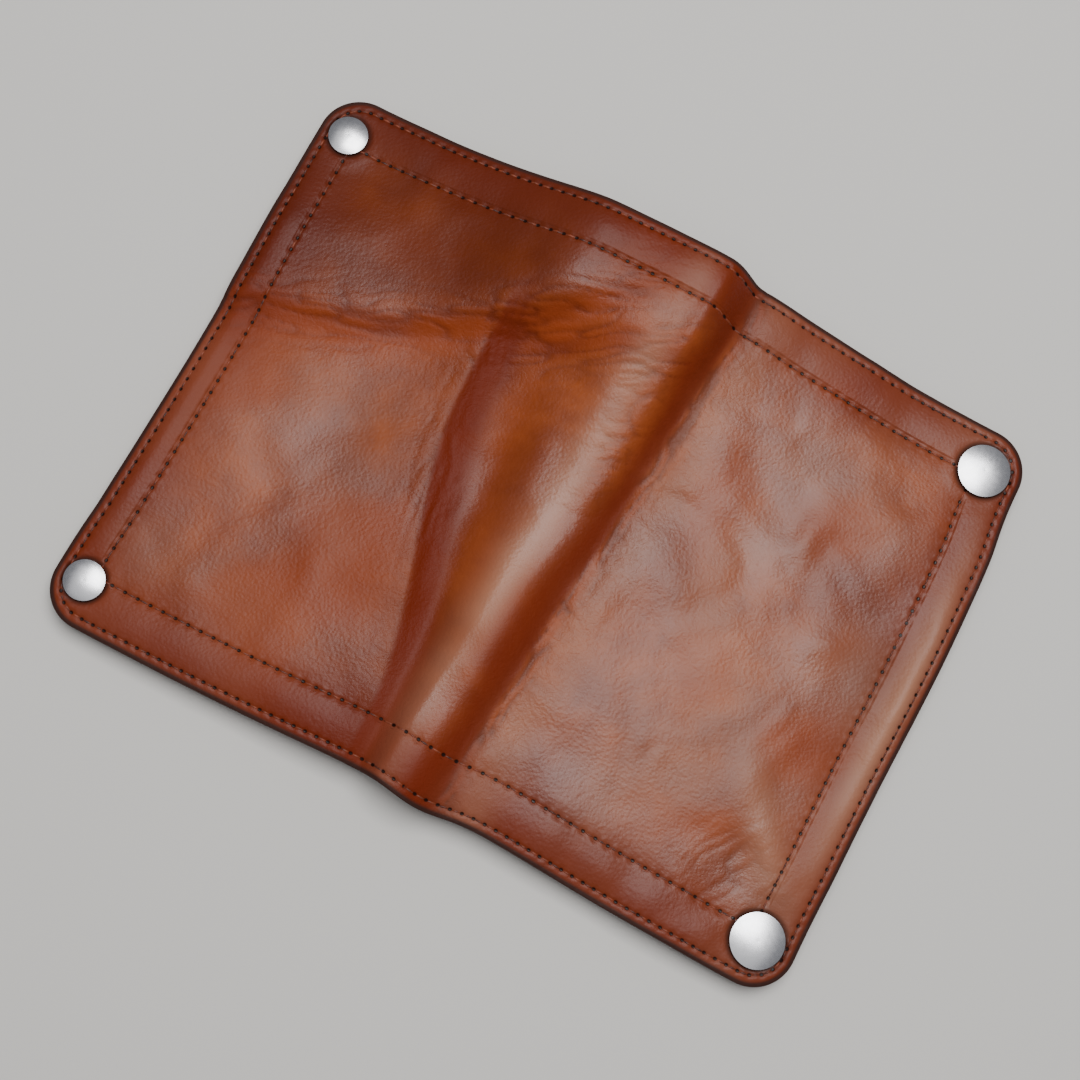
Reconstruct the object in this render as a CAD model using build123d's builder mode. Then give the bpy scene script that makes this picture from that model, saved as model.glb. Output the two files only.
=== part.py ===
"""Passport-size bifold wallet in leather, lying open with its outside up.

X runs across the open wallet, from the back cover (-X) to the front cover (+X).
Y runs along the spine and +Z is up.
The origin is the bottom centre of the open wallet.
The covers fold down and together about two lines along Y, one on each side of the spine.
All sizes are in millimetres.
"""
import os
from math import sqrt

from build123d import *

os.makedirs("parts", exist_ok=True)

# Overall size
height = 142.0  # along the spine
front_width = 88.5  # from the front hinge line to the free edge
back_step = 2.2  # the back cover is cut this much narrower than the front
corner_radius = 10.0

# Leather layers, from the outside in
shell_thickness = 1.6
stiffener_thickness = 0.4  # let into the shell's inner side
stiffener_margin = 4.0  # between the board and the inner row of stitches
lining_thickness = 0.5
slip_gap = 0.3  # flat room in the slip pocket
slip_thickness = 1.0
card_leather = 0.5
card_gap = 0.2  # flat room in one card pocket
edge_rounding = 0.5

# Stitching
thread_width = 0.55
thread_depth = 0.25
edge_row = 2.6  # from the edge to the outer row of stitches
inner_row_offset = 1.9  # the inner row lies this much further in than the caps' centres
row_tuck = 1.0  # the inner row ends this far under the caps
card_row = 1.5  # from a card pocket's side to its seam

# Pockets
slip_mouth = 8.0  # from the hinge line to the slip pocket's open edge
slip_seam = 5.0  # width of the sewn border
card_length = 85.6  # bank card, long side
card_play = 0.7
card_seam = 3.0
card_depth = 46.0  # how deep a card sits in its pocket
card_step = 12.0  # each pocket opens this much further from the spine
card_pockets = 3

# Hinge lines and the spine between them
hinge_clearance = 0.15
closed_gap = 0.5  # between the two sets of pockets in the closed wallet
arch_rise = 5.5  # how far the spine stands above the covers

# Press studs
front_cap_radius = 6.25
back_cap_radius = 4.7
cap_rim = 0.45
cap_dome = 0.75
post_radius = 1.2
post_play = 0.1
post_flare_radius = 1.75
post_flare = 0.25
front_snap_inset = 9.4  # from the front cover's free edge to the stud's axis
snap_inset_y = 10.4  # from the top or bottom edge to the stud's axis
socket_radius = 5.2
socket_base = 0.6
socket_barrel = 4.6
socket_wall = 0.5
socket_rounding = 0.4
stud_radius = 4.4
stud_flange = 0.8
knob_radius = 2.65
knob_neck = 2.3
knob_head = 1.3
knob_play = 0.5  # radial play of the knob in the socket
knob_recess = 0.5
knob_recess_radius = 1.9
knob_rounding = 0.3
snap_float = 0.3  # between the closed socket and the stud's flange
spring_wire_radius = 0.3
spring_play = 0.05  # between the knob and the spring wires

# Sizes that follow from the ones above
back_width = front_width - back_step
card_sheet = card_leather + card_gap
corner_stack = shell_thickness + lining_thickness + slip_gap + slip_thickness
full_stack = corner_stack + card_pockets * card_sheet
spine_width = 2 * full_stack + closed_gap
snap_space = spine_width - 2 * corner_stack
snap_height = snap_space - stud_flange - snap_float
cover_top = corner_stack + snap_height
snap_reach = front_width - front_snap_inset
snap_y = height / 2 - snap_inset_y
spine_x = (back_width - front_width) / 2
card_pocket_length = card_length + 2 * card_play + 2 * card_seam
sides = {"back": -1, "front": 1}
widths = {"back": back_width, "front": front_width}
cap_radii = {"back": back_cap_radius, "front": front_cap_radius}
snap_insets = {"back": back_width - snap_reach, "front": front_snap_inset}
inner_row_y = snap_inset_y + inner_row_offset


def hinge_x(cover):
    """The fold line beside this cover."""
    return spine_x + sides[cover] * spine_width / 2


def cover_sheet(cover, top, thickness, inset=(0.0, 0.0), start=hinge_clearance, radius=corner_radius):
    """A flat sheet in the shape of one cover, square at the hinge line and rounded at the free edge.

    The inset is from the free edge, and from the top and bottom edges.
    """
    side = sides[cover]
    length = widths[cover] - inset[0] - start
    middle = hinge_x(cover) + side * (start + length / 2)
    with BuildPart() as sheet:
        with BuildSketch(Plane.XY.offset(top - thickness)) as outline:
            with Locations((middle, 0)):
                Rectangle(length, height - 2 * inset[1])
            if radius > 0:
                free_corners = outline.vertices().group_by(Axis.X)[-1 if side > 0 else 0]
                fillet(free_corners, radius)
        extrude(amount=thickness)
    return sheet.part


def row_band(cover, top, inset, radius):
    """A row of stitches on one cover, as a flat band that follows the edge at a fixed distance."""
    near = (inset[0] - thread_width / 2, inset[1] - thread_width / 2)
    far = (inset[0] + thread_width / 2, inset[1] + thread_width / 2)
    outside = cover_sheet(cover, top, thread_depth, near, radius=max(radius + thread_width / 2, 0))
    inside = cover_sheet(cover, top, thread_depth, far, radius=max(radius - thread_width / 2, 0))
    with BuildPart() as band:
        add(outside)
        add(inside, mode=Mode.SUBTRACT)
    return band.part


def snap_spots(cover, z):
    """Where the two press studs of one cover stand, at one height."""
    x = hinge_x(cover) + sides[cover] * snap_reach
    return Locations((x, snap_y, z), (x, -snap_y, z))


def snap_section(cover, place, z):
    """The upright plane that one half of a press stud is turned in, its origin on the stud's axis."""
    x = hinge_x(cover) + sides[cover] * snap_reach
    y = snap_y if place == "upper" else -snap_y
    return Plane((x, y, z), x_dir=(1, 0, 0), z_dir=(0, -1, 0))


def save(part, name):
    """Give a finished piece its name and write it."""
    part.label = name
    export_step(part, f"parts/{name}.step")


lining_top = cover_top - shell_thickness
slip_top = lining_top - lining_thickness
slip_face = cover_top - corner_stack
hole_radius = post_radius + post_play

# The outer leather, its lining and what is sewn to it, on each cover
for cover, side in sides.items():
    inner_row_x = snap_insets[cover] + inner_row_offset
    outer_row = row_band(cover, cover_top, (edge_row, edge_row), corner_radius - edge_row)
    inside_row = row_band(
        cover, slip_face + thread_depth, (edge_row, edge_row), corner_radius - edge_row
    )
    inner_frame = row_band(cover, cover_top, (inner_row_x, inner_row_y), 0)
    with BuildPart() as inner_line:
        add(inner_frame)
        with snap_spots(cover, cover_top):
            Cylinder(cap_radii[cover] - row_tuck, 4 * thread_depth, mode=Mode.SUBTRACT)
    inner_band = inner_line.part
    recess = cover_sheet(
        cover,
        lining_top + stiffener_thickness,
        stiffener_thickness,
        (inner_row_x + stiffener_margin, inner_row_y + stiffener_margin),
        start=slip_mouth,
        radius=0,
    )

    # Outer leather: the edge is rounded and the stitches lie in grooves
    outside_sheet = cover_sheet(cover, cover_top, shell_thickness)
    with BuildPart() as shell:
        add(outside_sheet)
        top_edges = shell.edges().group_by(Axis.Z)[-1]
        hinge_edge = top_edges.sort_by(Axis.X)[0 if side > 0 else -1]
        fillet(top_edges - ShapeList([hinge_edge]), edge_rounding)
        add(outer_row, mode=Mode.SUBTRACT)
        add(inner_band, mode=Mode.SUBTRACT)
        add(recess, mode=Mode.SUBTRACT)
        with snap_spots(cover, cover_top):
            Cylinder(hole_radius, 4 * shell_thickness, mode=Mode.SUBTRACT)
    save(shell.part, f"shell_{cover}")

    # Bonded board that keeps the cover flat
    save(recess, f"stiffener_{cover}")

    # Thin lining leather, glued behind the shell and sewn by the inner row
    lining_sheet = cover_sheet(cover, lining_top, lining_thickness)
    with BuildPart() as lining:
        add(lining_sheet)
        with snap_spots(cover, lining_top):
            Cylinder(hole_radius, 4 * lining_thickness, mode=Mode.SUBTRACT)
    save(lining.part, f"lining_{cover}")

    # Slip pocket, sewn on three sides and open towards the spine
    slip_sheet = cover_sheet(cover, slip_top, slip_gap + slip_thickness, start=slip_mouth)
    slip_room = cover_sheet(
        cover, slip_top, slip_gap, (slip_seam, slip_seam), start=slip_mouth, radius=corner_radius - slip_seam
    )
    with BuildPart() as slip_pocket:
        add(slip_sheet)
        add(slip_room, mode=Mode.SUBTRACT)
        add(inside_row, mode=Mode.SUBTRACT)
        with snap_spots(cover, slip_face):
            Cylinder(hole_radius, 4 * slip_thickness, mode=Mode.SUBTRACT)
    save(slip_pocket.part, f"slip_pocket_{cover}")

    # The outer row goes through the cover and shows on both faces
    with BuildPart() as slip_length:
        add(inside_row)
        with Locations((hinge_x(cover) + side * slip_mouth / 2, 0, slip_face)):
            Box(slip_mouth, height, 4 * thread_depth, mode=Mode.SUBTRACT)
    with BuildPart() as edge_stitch:
        add(outer_row)
        add(slip_length.part)
    save(edge_stitch.part, f"edge_stitch_{cover}")
    save(inner_band, f"inner_stitch_{cover}")

    # Card pockets in steps, each seam lying in a groove of its own panel
    free_x = hinge_x(cover) + side * widths[cover]
    seam_y = card_pocket_length / 2 - card_row
    seams = []
    for number in range(1, card_pockets + 1):
        mouth = card_depth + slip_seam + (card_pockets - number) * card_step
        stop = mouth - card_depth
        panel_top = slip_face - (number - 1) * card_sheet
        panel_face = panel_top - card_sheet
        with BuildPart() as seam:
            with Locations((free_x - side * mouth / 2, 0, panel_face + thread_depth / 2)):
                with Locations((0, seam_y, 0), (0, -seam_y, 0)):
                    Box(mouth, thread_width, thread_depth)
            if number < card_pockets:
                with Locations((free_x - side * stop, 0, panel_face + thread_depth / 2)):
                    Box(thread_width, card_length, thread_depth)
        seams.append(seam.part)
        with BuildPart() as card_pocket:
            with Locations((free_x - side * mouth / 2, 0, panel_top - card_sheet / 2)):
                Box(mouth, card_pocket_length, card_sheet)
            with Locations((free_x - side * (mouth + stop) / 2, 0, panel_top - card_gap / 2)):
                Box(card_depth, card_length + 2 * card_play, card_gap, mode=Mode.SUBTRACT)
            add(seam.part, mode=Mode.SUBTRACT)
        save(card_pocket.part, f"card_pocket_{cover}_{number}")
    with BuildPart() as card_stitch:
        add(seams)
    save(card_stitch.part, f"card_stitch_{cover}")

# The spine is a low arch between the two hinge lines, and its layers follow one another
arch_radius = ((spine_width / 2) ** 2 + arch_rise**2) / (2 * arch_rise)
arch_centre = cover_top + arch_rise - arch_radius


def arch_layer(depth, thickness, length, y=0.0):
    """A strip of the spine that lies this deep under its outer face."""
    outer = arch_radius - depth
    foot = cover_top + hinge_clearance
    with BuildPart() as strip:
        with BuildSketch(Plane.XZ.offset(-y - length / 2)):
            with Locations((spine_x, arch_centre)):
                Circle(outer)
                Circle(outer - thickness, mode=Mode.SUBTRACT)
            with Locations((spine_x, foot - arch_radius)):
                Rectangle(4 * arch_radius, 2 * arch_radius, mode=Mode.SUBTRACT)
        extrude(amount=length)
    return strip.part


def arch_row(inset):
    """A row of stitches over the spine at both ends, in one piece of two solids."""
    upper = arch_layer(0, thread_depth, thread_width, height / 2 - inset)
    lower = arch_layer(0, thread_depth, thread_width, inset - height / 2)
    with BuildPart() as row:
        add(upper)
        add(lower)
    return row.part


edge_row_spine = arch_row(edge_row)
inner_row_spine = arch_row(inner_row_y)
outer_strip = arch_layer(0, shell_thickness, height)
with BuildPart() as shell_spine:
    add(outer_strip)
    add(edge_row_spine, mode=Mode.SUBTRACT)
    add(inner_row_spine, mode=Mode.SUBTRACT)
save(shell_spine.part, "shell_spine")
save(arch_layer(shell_thickness, lining_thickness, height), "lining_spine")
save(edge_row_spine, "edge_stitch_spine")
save(inner_row_spine, "inner_stitch_spine")


def turned(section, outline):
    """A solid of revolution about the axis of one press stud."""
    with BuildPart() as solid:
        with BuildSketch(section):
            with BuildLine():
                Polyline(*outline, close=True)
            make_face()
        revolve(axis=Axis(section.origin, (0, 0, 1)))
    return solid.part


def cap_piece(section, radius, post_length):
    """A domed cap with the post that is riveted over behind the stud or the socket."""
    with BuildPart() as cap:
        with BuildSketch(section):
            with BuildLine():
                crown = (0, cap_rim + cap_dome)
                bow = (0.55 * radius, cap_rim + 0.75 * cap_dome)
                dome = ThreePointArc(crown, bow, (radius, cap_rim))
                Polyline(
                    dome @ 1,
                    (radius, 0),
                    (post_radius, 0),
                    (post_radius, -post_length),
                    (post_flare_radius, -post_length),
                    (post_flare_radius, -post_length - post_flare),
                    (0, -post_length - post_flare),
                    crown,
                )
            make_face()
        revolve(axis=Axis(section.origin, (0, 0, 1)))
    return cap.part


bore_radius = knob_radius + knob_play
groove_radius = socket_barrel - socket_wall
wire_drop = snap_height - knob_head - spring_wire_radius - spring_play - stud_flange - snap_float
groove_low = -snap_height + wire_drop - spring_wire_radius
groove_high = groove_low + 2 * spring_wire_radius
wire_y = knob_radius + spring_play + spring_wire_radius
wire_length = 2 * sqrt(groove_radius**2 - (wire_y + spring_wire_radius) ** 2)

# Press studs: a cap and a socket on the front cover, a cap and a stud on the back cover
for place in ("upper", "lower"):
    front_outside = snap_section("front", place, cover_top)
    save(cap_piece(front_outside, front_cap_radius, corner_stack + socket_base), f"front_cap_{place}")

    # Socket: a flanged barrel with a groove for its spring wires
    front_inside = snap_section("front", place, slip_face)
    barrel = turned(
        front_inside,
        [
            (hole_radius, 0),
            (socket_radius, 0),
            (socket_radius, -socket_base),
            (socket_barrel, -socket_base),
            (socket_barrel, -snap_height),
            (bore_radius, -snap_height),
            (bore_radius, groove_low),
            (groove_radius, groove_low),
            (groove_radius, groove_high),
            (bore_radius, groove_high),
            (bore_radius, -socket_base),
            (hole_radius, -socket_base),
        ],
    )
    with BuildPart() as socket:
        add(barrel)
        mouth_edges = socket.edges().filter_by(GeomType.CIRCLE).group_by(Axis.Z)[0]
        fillet(mouth_edges.sort_by(SortBy.RADIUS)[-1], socket_rounding)
    save(socket.part, f"socket_{place}")

    # Two straight spring wires that close behind the stud's head
    spot = front_inside.origin
    wire_z = spot.Z - snap_height + wire_drop
    with BuildPart() as spring:
        with Locations((spot.X, spot.Y + wire_y, wire_z), (spot.X, spot.Y - wire_y, wire_z)):
            Cylinder(spring_wire_radius, wire_length, rotation=(0, 90, 0))
    save(spring.part, f"socket_spring_{place}")

    back_outside = snap_section("back", place, cover_top)
    back_post = corner_stack + snap_height - knob_recess
    save(cap_piece(back_outside, back_cap_radius, back_post), f"back_cap_{place}")

    # Stud: a flange, a neck and a rounded head with a recess for the riveted post
    back_inside = snap_section("back", place, slip_face)
    knob = turned(
        back_inside,
        [
            (hole_radius, 0),
            (stud_radius, 0),
            (stud_radius, -stud_flange),
            (knob_neck, -stud_flange),
            (knob_neck, knob_head - snap_height),
            (knob_radius, knob_head - snap_height),
            (knob_radius, -snap_height),
            (knob_recess_radius, -snap_height),
            (knob_recess_radius, knob_recess - snap_height),
            (hole_radius, knob_recess - snap_height),
        ],
    )
    with BuildPart() as stud:
        add(knob)
        head_edges = stud.edges().filter_by(GeomType.CIRCLE)
        fillet(head_edges.filter_by(lambda edge: abs(edge.radius - knob_radius) < 0.01), knob_rounding)
    save(stud.part, f"stud_{place}")
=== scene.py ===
"""Looks of a passport-size bifold wallet in waxed pull-up leather, lying open with its outside up."""

from math import pi, radians

import bpy
import numpy as np
from mathutils import Matrix, Vector


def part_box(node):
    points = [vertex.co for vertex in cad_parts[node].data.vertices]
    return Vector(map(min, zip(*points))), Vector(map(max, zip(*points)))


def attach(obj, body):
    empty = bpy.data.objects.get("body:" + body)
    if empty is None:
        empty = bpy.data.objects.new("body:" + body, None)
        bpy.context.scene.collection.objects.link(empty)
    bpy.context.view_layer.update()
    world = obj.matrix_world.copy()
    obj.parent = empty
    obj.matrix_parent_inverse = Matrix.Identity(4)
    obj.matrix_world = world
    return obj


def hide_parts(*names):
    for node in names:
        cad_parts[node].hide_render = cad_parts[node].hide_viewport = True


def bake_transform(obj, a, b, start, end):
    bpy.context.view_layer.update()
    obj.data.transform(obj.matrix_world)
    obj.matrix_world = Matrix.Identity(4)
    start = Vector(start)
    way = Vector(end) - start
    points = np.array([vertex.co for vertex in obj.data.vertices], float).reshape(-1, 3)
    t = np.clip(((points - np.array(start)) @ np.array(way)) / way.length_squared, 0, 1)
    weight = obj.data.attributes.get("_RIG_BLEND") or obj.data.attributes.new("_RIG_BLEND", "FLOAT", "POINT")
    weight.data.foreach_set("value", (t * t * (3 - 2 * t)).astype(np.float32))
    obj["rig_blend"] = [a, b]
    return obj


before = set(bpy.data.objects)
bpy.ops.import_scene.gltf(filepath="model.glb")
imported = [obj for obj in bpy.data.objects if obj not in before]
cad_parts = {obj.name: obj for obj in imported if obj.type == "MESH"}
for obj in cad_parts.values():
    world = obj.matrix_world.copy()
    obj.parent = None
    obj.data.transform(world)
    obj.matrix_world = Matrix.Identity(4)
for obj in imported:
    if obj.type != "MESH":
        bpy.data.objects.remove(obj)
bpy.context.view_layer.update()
MM = 0.001


# ---------------------------------------------------------------- how the worn leather lies
# The whole wallet has taken a shape from years of folding: a hump over the spine, a deep crease
# on its right, a softer one on its left and a terrace across the back cover.
# Every layer follows this shape, so it is written once and each sheet is laid over it.
back_low, back_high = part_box("shell_back")
front_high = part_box("shell_front")[1]
spine_low, spine_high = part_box("shell_spine")
left_edge = back_low.x / MM
right_edge = front_high.x / MM
half_height = front_high.y / MM
cover_top = front_high.z / MM
spine_middle = (spine_low.x + spine_high.x) / 2 / MM
corner_radius = 10.0
cap_spots = []
for cap_node in ("front_cap_upper", "front_cap_lower", "back_cap_upper", "back_cap_lower"):
    cap_low, cap_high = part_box(cap_node)
    cap_middle = (cap_low + cap_high) / 2 / MM
    cap_spots.append((cap_middle.x, cap_middle.y, (cap_high.x - cap_low.x) / 2 / MM))


def rise(t):
    """A smooth step from 0 to 1."""
    t = np.clip(t, 0.0, 1.0)
    return t * t * (3 - 2 * t)


def bell(distance, width):
    """A smooth bump, 1 in the middle."""
    return np.exp(-((distance / width) ** 2))


def soft_noise(x, y, size, seed, turn=0.0):
    """Smooth random values from -1 to 1 that change over this many millimetres, on a turned grid."""
    values = np.random.RandomState(seed).uniform(-1, 1, (64, 64))
    u = (x * np.cos(turn) + y * np.sin(turn)) / size + 1000.0
    v = (y * np.cos(turn) - x * np.sin(turn)) / size + 1000.0
    column = np.floor(u).astype(int)
    row = np.floor(v).astype(int)
    across = rise(u - column)
    along = rise(v - row)
    corners = [values[(column + i) % 64, (row + j) % 64] for j in (0, 1) for i in (0, 1)]
    low = corners[0] * (1 - across) + corners[1] * across
    high = corners[2] * (1 - across) + corners[3] * across
    return low * (1 - along) + high * along


def past_caps(x, y):
    """How far outside each of the four caps a place lies."""
    return [np.hypot(x - cap_x, y - cap_y) - radius for cap_x, cap_y, radius in cap_spots]


def free_of_caps(x, y, margin):
    """0 at the press studs, where the leather is held flat, and 1 away from them."""
    free = np.ones_like(x)
    for distance in past_caps(x, y):
        free *= rise((distance - 1.0) / margin)
    return free


crease_width = 9.0
ridge_offset = 13.0


def main_crease(x, y):
    """Distance to the right of the deep crease beside the spine. The ridge runs 13 mm to its left."""
    return x - (11.6 + 0.075 * y + 0.7 * soft_noise(0 * x, y, 19.0, 71))


def left_crease(x, y):
    """Distance to the right of the softer crease, which bends away to the left as it climbs."""
    return x + 16.0 + 17.0 * rise((y + 60) / 80)


def terrace_line(x, y):
    """Distance above the wrinkle that crosses the back cover from its free edge to the spine."""
    return y - (13 + 0.25 * (x + 91) + 0.0045 * np.maximum(x + 75, 0) ** 2)


def hook_line(x, y):
    """Distance above the fold that the left crease turns into near the spine."""
    return y - (46.9 + 0.42 * x)


# Heights, and how far the back, the ridge and the foot climb towards the top
terrace_height = 1.9
hook_height = 1.0
back_height, back_climb = 2.0, 7.6
ridge_height, ridge_climb = 4.4, 8.0
foot_height, foot_climb = 0.8, 3.6


def lie(x, y):
    """How far the whole stack of leather stands above its flat height. It climbs towards the top."""
    climb = rise((y - 10) / 54)
    d = left_crease(x, y)
    u = main_crease(x, y)
    terrace = terrace_height * rise((terrace_line(x, y) + 4.5) / 9.0) * rise((6 - x) / 26)
    hook = hook_height * rise((hook_line(x, y) + 3.5) / 6.0) * rise((x + 36) / 14) * rise((12 - x) / 16)
    plateau = (back_height + back_climb * climb) * rise((x + 66) / 46) + terrace + hook
    # The left crease: a crisp drop that flattens away to the right
    beyond = 0.5 * np.log1p(np.exp(np.clip(d / 0.5, -30, 30)))
    step = (2.0 + 1.3 * rise((y + 55) / 30)) * rise((52 - y) / 22) * (1 - np.exp(-beyond / 5.5))
    ridge = ridge_height + ridge_climb * climb + 0.6 * rise((-y - 30) / 40)
    foot = foot_height + foot_climb * climb
    start = 3.0 + 4.0 * rise((y + 55) / 40)
    to_ridge = rise((d - start) / np.maximum(d - u - ridge_offset - start, 5))
    left = (plateau - step) * (1 - to_ridge) + ridge * to_ridge
    # The main crease: a slope that steepens from the ridge down to a sharp foot
    share = (u + crease_width) / crease_width
    share -= 0.08 * np.log1p(np.exp(np.clip((share - 1) / 0.08, -30, 30)))
    share = np.clip(share, 0, 1)
    right = ridge - (ridge - foot) * share**2 * (1.6 - 0.6 * share)
    right -= foot * (1 - rise((64 - x) / 50))
    wx = x + 6.0 * soft_noise(x, y, 19.0, 61)
    wy = y + 6.0 * soft_noise(x, y, 19.0, 62)
    buckled = (0.45 + 0.25 * rise((x + 30) / 30)) * (1 + soft_noise(wx, 0.8 * wy, 22.0, 3, 0.4))
    return (np.where(u < -crease_width, left, right) + buckled) * free_of_caps(x, y, 22.0)


def creased(x, y, turn, length, spacing, seed):
    """Narrow wandering creases, longer one way than the other: 0 between them and -1 in them."""
    wander = 1.2 * soft_noise(x, y, 7.0, seed + 50)
    along = (x * np.cos(turn) + y * np.sin(turn)) / length
    across = (y * np.cos(turn) - x * np.sin(turn) + wander) / spacing
    return -((1 - np.abs(soft_noise(along, across, 1.0, seed))) ** 3)


def wrinkles(x, y):
    """Fine wrinkles where the leather is worked: along the terrace, the hook and both creases."""
    u = main_crease(x, y)
    strain = bell(terrace_line(x, y), 9.0) * rise((6 - x) / 18)
    hook_strain = bell(hook_line(x, y) + 4.0, 9.0) * rise((x + 34) / 10) * rise((22 - x) / 16)
    bunched = bell(np.hypot(x - 73, y + 50), 11.0)
    left_strain = bell(left_crease(x, y) - 2.0, 6.0) * rise((y + 40) / 30) * rise((48 - y) / 16)
    # Depth, direction, length, spacing, seed and where
    worked = (
        (0.26, 0.3, 9.0, 1.5, 21, strain),
        (0.28, 0.45, 8.0, 1.5, 22, hook_strain),
        (0.10, -0.55, 7.0, 1.5, 23, bell(u - 1.0, 9.0)),
        (0.34, 1.5, 11.0, 1.4, 28, bell(u - 1.8, 2.6)),
        (0.22, 0.4, 6.0, 1.4, 29, bell(u + 9, 7.0) * bell(y - 24, 26.0)),
        (0.24, 1.0, 9.0, 1.8, 24, bunched),
        (0.26, 1.8, 9.0, 1.4, 25, left_strain),
    )
    total = np.zeros_like(x)
    for depth, turn, length, spacing, seed, where in worked:
        total += depth * creased(x, y, turn, length, spacing, seed) * where
    return total


def relief(x, y):
    """The finer relief of the outer leather alone: cockles, dents, rolls and wrinkles."""
    wx = x + 4.0 * soft_noise(x, y, 12.0, 63)
    wy = y + 4.0 * soft_noise(x, y, 12.0, 64)
    cockle = 0.50 * soft_noise(wx, wy, 12.0, 5, 1.1) + 0.15 * soft_noise(wx, wy, 6.0, 9, 2.0)
    cockle *= 0.45 + 0.55 * rise((x + 30) / 30)
    bent = np.hypot(x - 36, y - 9)
    dent = 0.4 * bell(bent - 9.0, 3.4) * rise((x - 30) / 9)
    patch = 0.7 * bell(np.hypot((x - 80) / 9, (y - 16) / 11), 1.0)
    fold = 0.55 * bell((x - 74.5) + 0.65 * (y + 39), 4.6) * bell(y + 39, 12.0)
    roll = 1.0 * bell(x - 88.3, 2.3) * bell(y, 26.0)
    roll += 0.6 * bell(x + 88.5, 2.2) * bell(y + 8, 40.0)
    return (cockle + wrinkles(x, y) - dent - patch + fold + roll) * free_of_caps(x, y, 5.0)


def drift(x, y):
    """How far the leather has moved sideways: the spine has crept up, the free edges have bowed
    and the lower end of the spine pushes out again as a tab."""
    creep = 2.4 * bell(x - 4, 42.0)
    tab = 1.8 * bell(x - 3, 9.0) * rise((-y - 48) / 20)
    near_right = rise((x - 60) / 33)
    near_left = rise((-x - 60) / 33)
    bow = 1.5 * near_right * bell(y - 20, 42.0) + 1.4 * near_left * bell(y + 5, 45.0)
    held = free_of_caps(x, y, 14.0)
    return bow * held, (creep - tab) * held


# ---------------------------------------------------------------- outer leather
# One piece of waxed pull-up cowhide, 1.6 mm thick, cut with round corners and edges burnished.
# It crosses both fold lines, so it is made as one sheet and parted down the middle of the spine:
# each half bends between its cover and the spine.
outer_inset = 2.6
outer_y = half_height - outer_inset
inner_y = half_height - 12.3
inner_left = left_edge + 9.1
inner_right = right_edge - 11.3
shell_thickness = (back_high.z - back_low.z) / MM


def add_object(name, data):
    """A new object in the scene that shows this mesh, light or camera."""
    added = bpy.data.objects.new(name, data)
    bpy.context.scene.collection.objects.link(added)
    return added


def grid_lines(start, end, step, close_to=(), fine_step=0.22, reach=1.3):
    """Places for grid lines, closer together beside the rows of stitches."""
    places = [start]
    while places[-1] < end - 1e-6:
        near = any(abs(places[-1] - row) < reach for row in close_to)
        places.append(places[-1] + (fine_step if near else step))
    places = np.array(places)
    return start + (places - start) * (end - start) / (places[-1] - start)


def round_corners(x, y, radius, left, right, half):
    """Bends the corners of a square grid to a radius. A side given as None keeps its square corners."""
    x = x.copy()
    y = y.copy()
    for side, edge in ((-1, left), (1, right)):
        if edge is None:
            continue
        for end in (-1, 1):
            a = (side * (x - edge) + radius) / radius
            b = (end * y - half + radius) / radius
            inside = (a > 0) & (b > 0)
            a = np.clip(a, 0, 1)
            b = np.clip(b, 0, 1)
            bent_a = a * np.sqrt(1 - b * b / 2)
            bent_b = b * np.sqrt(1 - a * a / 2)
            x = np.where(inside, edge + side * radius * (bent_a - 1), x)
            y = np.where(inside, end * (half + radius * (bent_b - 1)), y)
    return x, y


def outline_distance(x, y, radius, left, right, half):
    """How far inside the rounded outline a place lies, in millimetres."""
    across = np.abs(x - (left + right) / 2) - ((right - left) / 2 - radius)
    along = np.abs(y) - (half - radius)
    corner = np.hypot(np.maximum(across, 0), np.maximum(along, 0))
    return radius - corner - np.minimum(np.maximum(across, along), 0)


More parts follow.
